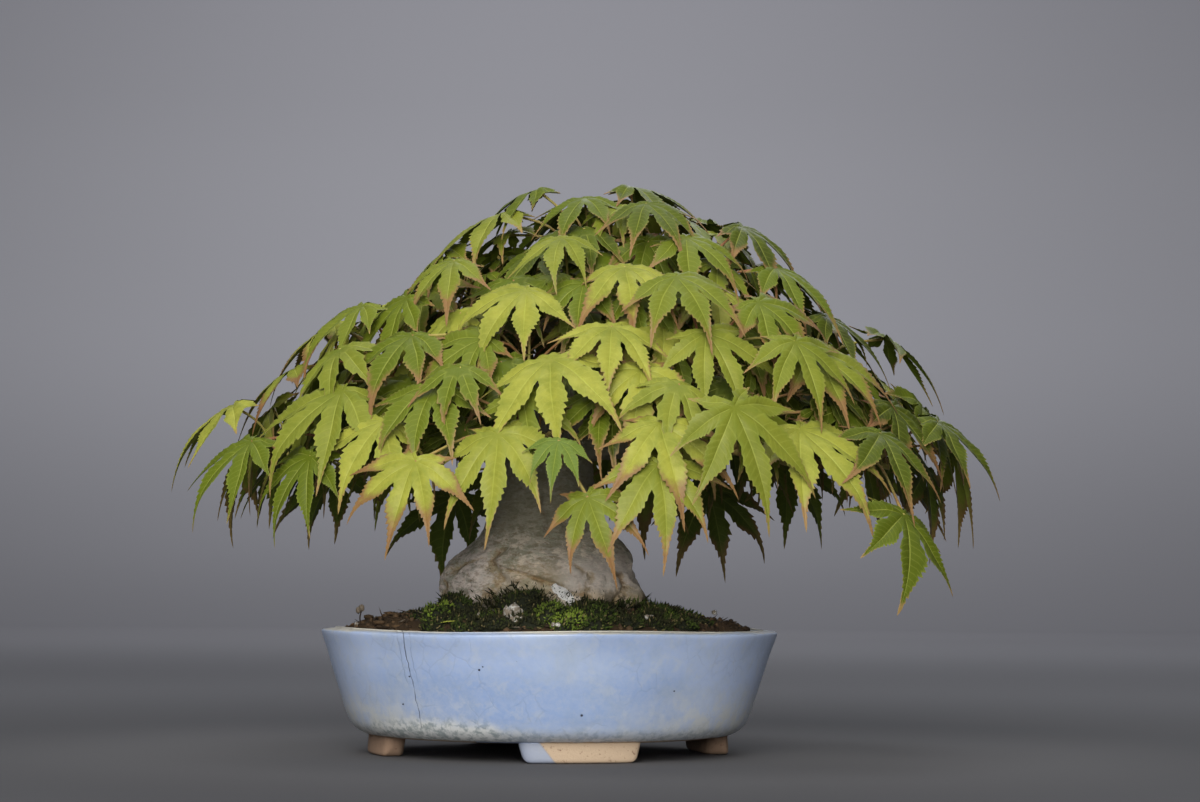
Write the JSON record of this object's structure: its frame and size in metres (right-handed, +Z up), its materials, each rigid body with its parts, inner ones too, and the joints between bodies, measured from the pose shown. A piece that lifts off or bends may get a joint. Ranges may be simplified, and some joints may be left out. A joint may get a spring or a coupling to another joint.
{
  "type": "potted bonsai tree",
  "caption": "Palmate-leaved bonsai tree with a wide domed crown over a flared trunk, in a shallow round glazed pot on short feet with mounded soil and moss",
  "frame": {"origin": "middle of the bounding box in plan, on the ground under the pot's feet", "axes": "+Z up, the front of the tree faces -Y, +X along the wide side of the crown, to the right as seen from the front"},
  "size_m": [0.2764, 0.2287, 0.1893],
  "materials": {
    "glaze": "gloss",
    "screen": "matte",
    "soil": "matte",
    "bark": "matte",
    "moss": "matte",
    "leaf": "satin"
  },
  "bodies": {
    "root": {"pot": "glaze", "drain_screen": "screen", "soil": "soil", "trunk": "bark", "moss_1": "moss", "moss_2": "moss", "moss_3": "moss", "moss_4": "moss", "moss_5": "moss", "spray_01": "leaf", "spray_02": "leaf", "spray_03": "leaf", "spray_04": "leaf", "spray_05": "leaf", "spray_06": "leaf", "spray_07": "leaf", "spray_08": "leaf", "spray_09": "leaf", "spray_10": "leaf", "spray_11": "leaf", "spray_12": "leaf", "spray_13": "leaf", "spray_14": "leaf", "spray_15": "leaf", "spray_16": "leaf", "spray_17": "leaf", "spray_18": "leaf", "spray_19": "leaf", "spray_20": "leaf", "spray_21": "leaf", "spray_22": "leaf", "spray_23": "leaf", "spray_24": "leaf", "spray_25": "leaf", "spray_26": "leaf"}
  },
  "joints": []
}
